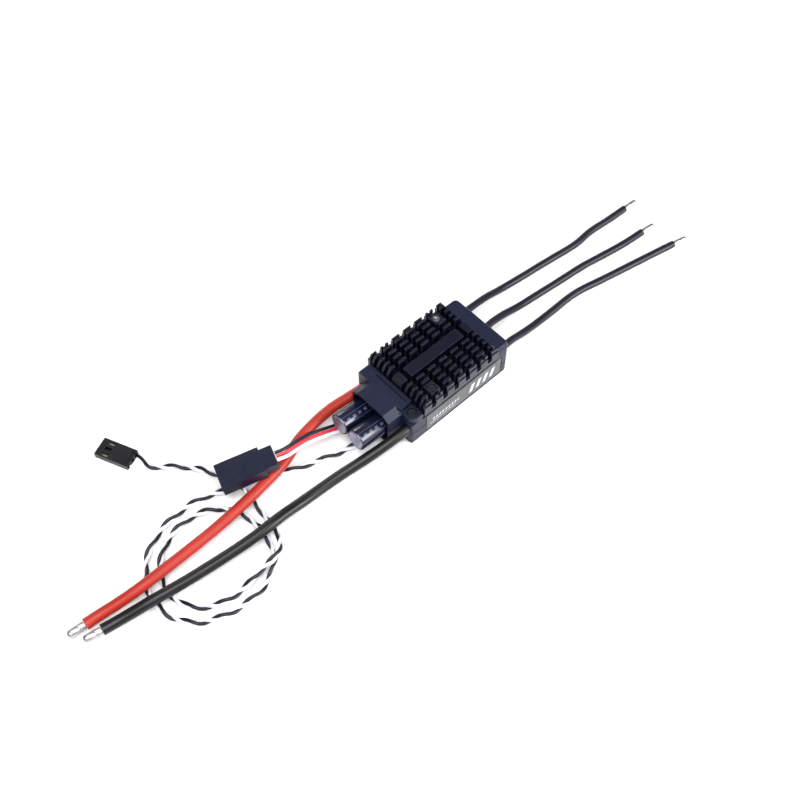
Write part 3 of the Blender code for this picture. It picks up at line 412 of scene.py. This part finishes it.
# %% Label finish
label_film, label_shader = new_finish("label_film", (0.045, 0.050, 0.050), (0.062, 0.066, 0.066),
                                      (0.34, 0.46), grain_scale=5000.0, bump=0.05)
label_tree = label_film.node_tree
film_colour = label_shader.inputs["Base Color"].links[0].from_socket
LABEL_INK = (0.46, 0.48, 0.50)
BARS = dict(Start=0.0122, End=0.0264, Low=0.0034, High=0.0080, Pitch=0.0036, Fill=0.5, Slant=-0.32)
RULE = dict(Start=-0.0072, End=0.0062, Low=0.0036, High=0.0039, Pitch=1.0, Fill=1.0, Slant=0.0)
DOTS = dict(Start=-0.0072, End=0.0062, Low=0.0048, High=0.0062, Pitch=0.0016, Fill=0.5, Slant=-0.32)
for values in (BARS, RULE, DOTS):
    marks = use_group(label_tree, printed, **values)
    film_colour = mix_colour(label_tree, marks.outputs["Mask"], film_colour, LABEL_INK)
join(label_tree, film_colour, label_shader.inputs["Base Color"])

# %% [markdown]
# ## Rounded edges on the solid pieces
#
# No moulded or machined edge is a true corner: it has a small radius that catches the light, and that
# bright line is what makes a piece look real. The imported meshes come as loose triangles. A Weld joins
# their corners, a Decimate joins triangles that lie in one plane, and a Bevel rounds what is left.

# %% Dress helper
def dress(name, material, radius=0.15, segments=2, angle=28):
    """Gives a solid piece its finish and rounds its edges by a radius in millimetres."""
    obj = nodes[name]
    obj.data.materials.clear()
    obj.data.materials.append(material)
    obj.data.attributes.remove(obj.data.attributes["custom_normal"])
    obj.data.shade_smooth()
    weld = obj.modifiers.new("Weld", "WELD")
    weld.merge_threshold = 0.000002
    flat = obj.modifiers.new("Join flat faces", "DECIMATE")
    flat.decimate_type = "DISSOLVE"
    flat.angle_limit = math.radians(0.6)
    rounding = obj.modifiers.new("Round edges", "BEVEL")
    rounding.width = radius * MM
    rounding.segments = segments
    rounding.limit_method = "ANGLE"
    rounding.angle_limit = math.radians(angle)
    rounding.harden_normals = True
    return obj


# %% Solid pieces
FINISH_OF = {
    "top_shell": (case_plastic, 0.25, 3), "bottom_shell": (case_plastic, 0.2, 2),
    "heat_sink": (sink_aluminium, 0.12, 2),
    "label_left": (label_film, 0.05, 1), "label_right": (label_film, 0.05, 1),
    "boss_screw": (black_steel, 0.1, 2), "sink_screw_front": (black_steel, 0.1, 2),
    "sink_screw_rear": (screw_steel, 0.1, 2), "case_screw_left": (screw_steel, 0.1, 2),
    "case_screw_right": (screw_steel, 0.1, 2),
    "capacitor_can_left": (can_aluminium, 0.2, 3), "capacitor_can_right": (can_aluminium, 0.2, 3),
    "capacitor_bung_left": (bung_rubber, 0.1, 2), "capacitor_bung_right": (bung_rubber, 0.1, 2),
    "signal_grommet": (bung_rubber, 0.3, 3), "auxiliary_grommet": (bung_rubber, 0.3, 3),
    "signal_plug": (plug_nylon, 0.15, 2), "pin_housing": (connector_nylon, 0.2, 3),
    "plug_contact_signal": (contact_plate, 0.06, 1), "plug_contact_ground": (contact_plate, 0.06, 1),
    "housing_pin_1": (contact_plate, 0.1, 1), "housing_pin_2": (contact_plate, 0.1, 1),
    "housing_pin_3": (contact_plate, 0.1, 1),
    "bus_bar_plus": (bus_copper, 0.1, 1), "bus_bar_minus": (bus_copper, 0.1, 1),
    "board_header": (plug_nylon, 0.1, 1), "thermal_pad": (pad_silicone, 0.1, 1),
    "power_board": (board_laminate, 0.1, 1), "control_board": (board_laminate, 0.1, 1),
    "capacitor_board": (board_laminate, 0.1, 1), "microcontroller": (chip_resin, 0.1, 1),
}
for number in range(1, 7):
    FINISH_OF[f"mosfet_{number}"] = (chip_resin, 0.1, 1)
for number in range(1, 4):
    FINISH_OF[f"gate_driver_{number}"] = (chip_resin, 0.1, 1)
for name, (material, radius, segments) in FINISH_OF.items():
    dress(name, material, radius, segments)
print("dressed", len(FINISH_OF), "solid pieces")

# %% [markdown]
# ## The capacitors' sleeves
#
# An electrolytic capacitor wears a shrunk plastic film. It is printed along its length with a pale stripe
# of minus signs on the negative leg's side, and this generic marking is all that is drawn here. The
# capacitor leans, so the shader first turns the position into the capacitor's own axes.

# %% Sleeve finish
SLEEVE_TILT = (math.radians(-1.5), math.radians(5.0))  # about Z and Y: the capacitors lie a little askew
STRIPE_ANGLE = math.radians(122.0)  # where the stripe lies round the sleeve
STRIPE_HALF = 0.36  # half the stripe's width, in radians round the sleeve
STRIPE_LINE = 0.02
MARK_HALF = 0.12
MARK_PITCH = 0.0026
MARK_FILL = 0.5
SLEEVE_INK = (0.07, 0.075, 0.14)


def new_sleeve_finish(name, sleeve_node):
    """Navy film with a stripe of minus signs along it."""
    material, shader = new_finish(name, (0.003, 0.004, 0.015), (0.006, 0.007, 0.024), (0.18, 0.28), bump=0.04)
    tree = material.node_tree
    low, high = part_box(sleeve_node)
    middle = (low + high) / 2
    turn = Matrix.Rotation(SLEEVE_TILT[0], 4, "Z") @ Matrix.Rotation(SLEEVE_TILT[1], 4, "Y")
    own = add_node(tree, "ShaderNodeMapping", vector_type="TEXTURE")
    own.inputs["Location"].default_value = middle
    own.inputs["Rotation"].default_value = turn.to_euler()
    join(tree, add_node(tree, "ShaderNodeTexCoord").outputs["Object"], own.inputs["Vector"])
    axes = add_node(tree, "ShaderNodeSeparateXYZ")
    join(tree, own.outputs["Vector"], axes.inputs["Vector"])
    angle = math_node(tree, "ARCTAN2", axes.outputs["Z"], axes.outputs["Y"])
    aside = math_node(tree, "ABSOLUTE", math_node(tree, "SUBTRACT", angle, STRIPE_ANGLE))
    step = math_node(tree, "FRACT", math_node(tree, "DIVIDE", axes.outputs["X"], MARK_PITCH))
    dash = math_node(tree, "LESS_THAN", step, MARK_FILL)
    wide = math_node(tree, "LESS_THAN", aside, MARK_HALF)
    ink = math_node(tree, "MULTIPLY", dash, wide)
    off_line = math_node(tree, "ABSOLUTE", math_node(tree, "SUBTRACT", aside, STRIPE_HALF))
    edge = math_node(tree, "LESS_THAN", off_line, STRIPE_LINE)
    colour = shader.inputs["Base Color"].links[0].from_socket
    for mask in (ink, edge):
        colour = mix_colour(tree, mask, colour, SLEEVE_INK)
    join(tree, colour, shader.inputs["Base Color"])
    return material


for side in ("left", "right"):
    sleeve_node = f"capacitor_sleeve_{side}"
    dress(sleeve_node, new_sleeve_finish(f"sleeve_film_{side}", sleeve_node), 0.2, 3, angle=35)

# %% [markdown]
# ## The heavy leads
#
# A lead is a tube of insulation over a bundle of strands. A curve with a round bevel is the simplest tube:
# it keeps its centre line, so it can be measured, and its roundness is one number. A little slow swelling
# of the radius along the way stands for silicone, which is never quite even.

# %% Lead helper
def make_lead(name, line, radius, material):
    """A round lead along even points in metres."""
    curve = bpy.data.curves.new(name, "CURVE")
    curve.dimensions = "3D"
    curve.bevel_depth = radius * MM
    curve.bevel_resolution = 6
    curve.use_fill_caps = True
    spline = curve.splines.new("POLY")
    spline.points.add(len(line) - 1)
    for i, (place, point) in enumerate(zip(spline.points, line)):
        place.co = (*point, 1.0)
        place.radius = 0.985 + 0.012 * math.sin(i * 0.9) * math.sin(i * 0.23)
    curve.materials.append(material)
    obj = bpy.data.objects.new(name, curve)
    scene.collection.objects.link(obj)
    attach(obj, "root")
    return obj


# %% [markdown]
# The bared end is a bundle of strands that were twisted and dipped in solder. Its outline is a circle with
# lobes, one for each outer strand, and the lobes turn as they go along. The solder rounds off the end.

# %% Strand helper
STRANDS = 9
TIP_LENGTH = 6.5


def make_strands(name, line, radius):
    """A twisted and tinned bundle that carries on from the end of a line."""
    way = (line[-1] - line[-2]).normalized()
    turn = way.to_track_quat("X", "Z").to_matrix().to_4x4()
    frame_of_tip = Matrix.Translation(line[-1] + way * 0.3 * MM) @ turn
    steps, sides = 26, STRANDS * 6
    bm = bmesh.new()
    rings = []
    for i in range(steps + 1):
        part = i / steps
        taper = 1.0 if part < 0.8 else math.sqrt(max(0.0, 1.0 - ((part - 0.8) / 0.2) ** 2)) * 0.55 + 0.45
        melt = 0.075 * (1.0 - 0.5 * part)
        ring = []
        for k in range(sides):
            angle = 2 * math.pi * k / sides
            lobe = 1.0 - melt + melt * abs(math.cos(angle * STRANDS / 2))
            swirl = angle + part * 1.5
            r = radius * taper * lobe * MM
            x = TIP_LENGTH * part * MM
            ring.append(bm.verts.new(frame_of_tip @ Vector((x, r * math.cos(swirl), r * math.sin(swirl)))))
        rings.append(ring)
    for a, b in zip(rings, rings[1:]):
        for k in range(sides):
            bm.faces.new((a[k], a[(k + 1) % sides], b[(k + 1) % sides], b[k]))
    bm.faces.new(list(reversed(rings[0])))
    bm.faces.new(rings[-1])
    bmesh.ops.recalc_face_normals(bm, faces=bm.faces)
    mesh = bpy.data.meshes.new(name)
    bm.to_mesh(mesh)
    bm.free()
    mesh.shade_smooth()
    mesh.set_sharp_from_angle(angle=math.radians(50))
    mesh.materials.append(tinned_copper)
    obj = bpy.data.objects.new(name, mesh)
    scene.collection.objects.link(obj)
    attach(obj, "root")
    return obj


# %% Supply leads
SUPPLY_RADIUS = 2.1
for colour, route, material in (("red", RED_ROUTE, red_silicone), ("black", BLACK_ROUTE, black_silicone)):
    line, length = smooth_line(route, 2.5)
    lead = make_lead(f"supply_lead_{colour}", line, SUPPLY_RADIUS, material)
    tip = make_strands(f"supply_strands_{colour}", line, SUPPLY_RADIUS * 0.72)
    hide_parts(f"power_lead_{colour}")
    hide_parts(f"power_tip_{colour}")
    print(f"{colour} supply lead: {length * 1000:.0f} mm")

# %% Motor leads
MOTOR_RADIUS = 1.5
for letter, route in MOTOR_ROUTES.items():
    line, length = smooth_line(route, 2.0)
    lead = make_lead(f"motor_lead_{letter}", line, MOTOR_RADIUS, motor_silicone)
    tip = make_strands(f"motor_strands_{letter}", line, MOTOR_RADIUS * 0.74)
    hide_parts(f"phase_lead_{letter}")
    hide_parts(f"phase_tip_{letter}")
    print(f"motor lead {letter}: {length * 1000:.0f} mm")

# %% [markdown]
# ## The twisted signal pair
#
# Two thin wires, one black and one white, are twisted so that noise reaches both alike. Each wire is a
# small tube whose centre winds round the shared line. At the plug they part and go to the two outer
# ways. To wind round a bent line, a frame is carried along it without letting it spin.

# %% Carried frames
def carried_frames(line):
    """For each point of a line: its direction and one side direction that doesn't spin."""
    way = [(line[min(i + 1, len(line) - 1)] - line[max(i - 1, 0)]).normalized() for i in range(len(line))]
    side = way[0].cross(Vector((0, 0, 1))).normalized()
    frames = []
    for direction in way:
        side = (side - direction * side.dot(direction)).normalized()
        frames.append((direction, side))
    return frames


def add_tube(bm, centres, radius, material_index, sides=14):
    """Adds a closed tube along its centre points."""
    rings = []
    for centre, (direction, side) in zip(centres, carried_frames(centres)):
        up = direction.cross(side)
        ring = []
        for k in range(sides):
            angle = 2 * math.pi * k / sides
            ring.append(bm.verts.new(centre + (side * math.cos(angle) + up * math.sin(angle)) * radius))
        rings.append(ring)
    made = []
    for a, b in zip(rings, rings[1:]):
        for k in range(sides):
            made.append(bm.faces.new((a[k], a[(k + 1) % sides], b[(k + 1) % sides], b[k])))
    made.append(bm.faces.new(list(reversed(rings[0]))))
    made.append(bm.faces.new(rings[-1]))
    for face in made:
        face.material_index = material_index
        face.smooth = len(face.verts) == 4


# %% Twisted pair
TWIST_PITCH = 12.4
WIRE_RADIUS = 0.64
FAN_LENGTH = 7.0
PLUG_WAY = 2.54
pair_line, pair_length = smooth_line(PAIR_ROUTE, 0.8)
plug_side = Vector((math.sin(math.radians(66.6)), math.cos(math.radians(66.6)), 0.0))
pair_frames = carried_frames(pair_line)
bm = bmesh.new()
for index, start_angle in enumerate((0.0, math.pi)):
    centres = []
    for i, (point, (direction, side)) in enumerate(zip(pair_line, pair_frames)):
        gone = pair_length * i / (len(pair_line) - 1)
        angle = start_angle + 2 * math.pi * gone / (TWIST_PITCH * MM) + 0.5 * math.sin(gone * 90)
        up = direction.cross(side)
        wound = (side * math.cos(angle) + up * math.sin(angle)) * 0.65 * MM
        left = (pair_length - gone) / (FAN_LENGTH * MM)
        share = max(0.0, min(1.0, 1.0 - left))
        share = share * share * (3 - 2 * share)
        fanned = plug_side * PLUG_WAY * MM * (1 if index == 0 else -1)
        centres.append(point + wound.lerp(fanned, share))
    add_tube(bm, centres, WIRE_RADIUS * MM, index)
bmesh.ops.recalc_face_normals(bm, faces=bm.faces)
mesh = bpy.data.meshes.new("signal_pair_strands")
bm.to_mesh(mesh)
bm.free()
mesh.materials.append(black_pvc)
mesh.materials.append(white_pvc)
pair = bpy.data.objects.new("signal_pair_strands", mesh)
scene.collection.objects.link(pair)
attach(pair, "root")
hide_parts("signal_pair")
print(f"signal pair: {pair_length * 1000:.0f} mm")

# %% [markdown]
# ## The spare wires
#
# Three thin wires run side by side from the hood up to the open housing. They follow one route, each
# moved a little to the side, so they fan out evenly like the real ribbon of wires.

# %% Spare wires
def moved_sideways(route, offset):
    """The route moved to its left, seen from above."""
    moved = []
    for i, point in enumerate(route):
        start, stop = Vector(route[max(i - 1, 0)]), Vector(route[min(i + 1, len(route) - 1)])
        way = (stop - start).to_2d().normalized()
        moved.append((point[0] - way.y * offset, point[1] + way.x * offset, point[2]))
    return moved


for i, (colour, material) in enumerate((("black", black_pvc), ("red", red_pvc), ("white", white_pvc))):
    line, length = smooth_line(moved_sideways(SPARE_ROUTE, (i - 1) * SPARE_PITCH), 1.2)
    wire = make_lead(f"spare_wire_{colour}", line, WIRE_RADIUS, material)
    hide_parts(f"auxiliary_lead_{colour}")
    print(f"spare wire {colour}: {length * 1000:.0f} mm")

# %% [markdown]
# ## The bench and the light
#
# The controller lies on a plain pale bench. Large area lights give soft shadows and broad reflections.
# The key hangs on the near side, so the flat tops don't mirror it and stay dark. A low one on the right
# draws thin bright lines along the edges of the fins, and a low one behind does the same for the
# capacitors. The world is a weak pale grey that fills the shadows.

# %% Bench
bench_material = bpy.data.materials.new("bench")
bench_material.use_nodes = True
bench_shader = bench_material.node_tree.nodes["Principled BSDF"]
bench_shader.inputs["Base Color"].default_value = (0.9, 0.9, 0.9, 1.0)
bench_shader.inputs["Roughness"].default_value = 0.9
bench_shader.inputs["Specular IOR Level"].default_value = 0.1
bm = bmesh.new()
bmesh.ops.create_grid(bm, x_segments=1, y_segments=1, size=3.0)
bench_mesh = bpy.data.meshes.new("bench")
bm.to_mesh(bench_mesh)
bm.free()
bench_mesh.materials.append(bench_material)
bench = bpy.data.objects.new("bench", bench_mesh)
bench.location.z = -0.0001
scene.collection.objects.link(bench)

# %% Light
LAMPS = {
    "key": ((-0.25, -0.25, 0.9), (0.0, 0.0, 0.0), 0.8, 13.0),
    "right": ((0.35, -0.72, 0.36), (0.0, 0.0, 0.0), 0.4, 9.0),
    "behind": ((0.3, 0.85, 0.38), (0.0, 0.0, 0.0), 0.35, 3.0),
}
for name, (place, target, size, watts) in LAMPS.items():
    lamp_data = bpy.data.lights.new(name, "AREA")
    lamp_data.shape = "SQUARE"
    lamp_data.size = size
    lamp_data.energy = watts
    lamp = bpy.data.objects.new(name, lamp_data)
    lamp.location = place
    lamp.rotation_euler = (Vector(place) - Vector(target)).to_track_quat("Z", "Y").to_euler()
    scene.collection.objects.link(lamp)

world = bpy.data.worlds.new("studio")
world.use_nodes = True
world.node_tree.nodes["Background"].inputs["Color"].default_value = (0.95, 0.97, 1.0, 1.0)
world.node_tree.nodes["Background"].inputs["Strength"].default_value = 0.3
scene.world = world
scene.view_settings.view_transform = "Standard"
print("lamps:", ", ".join(LAMPS))
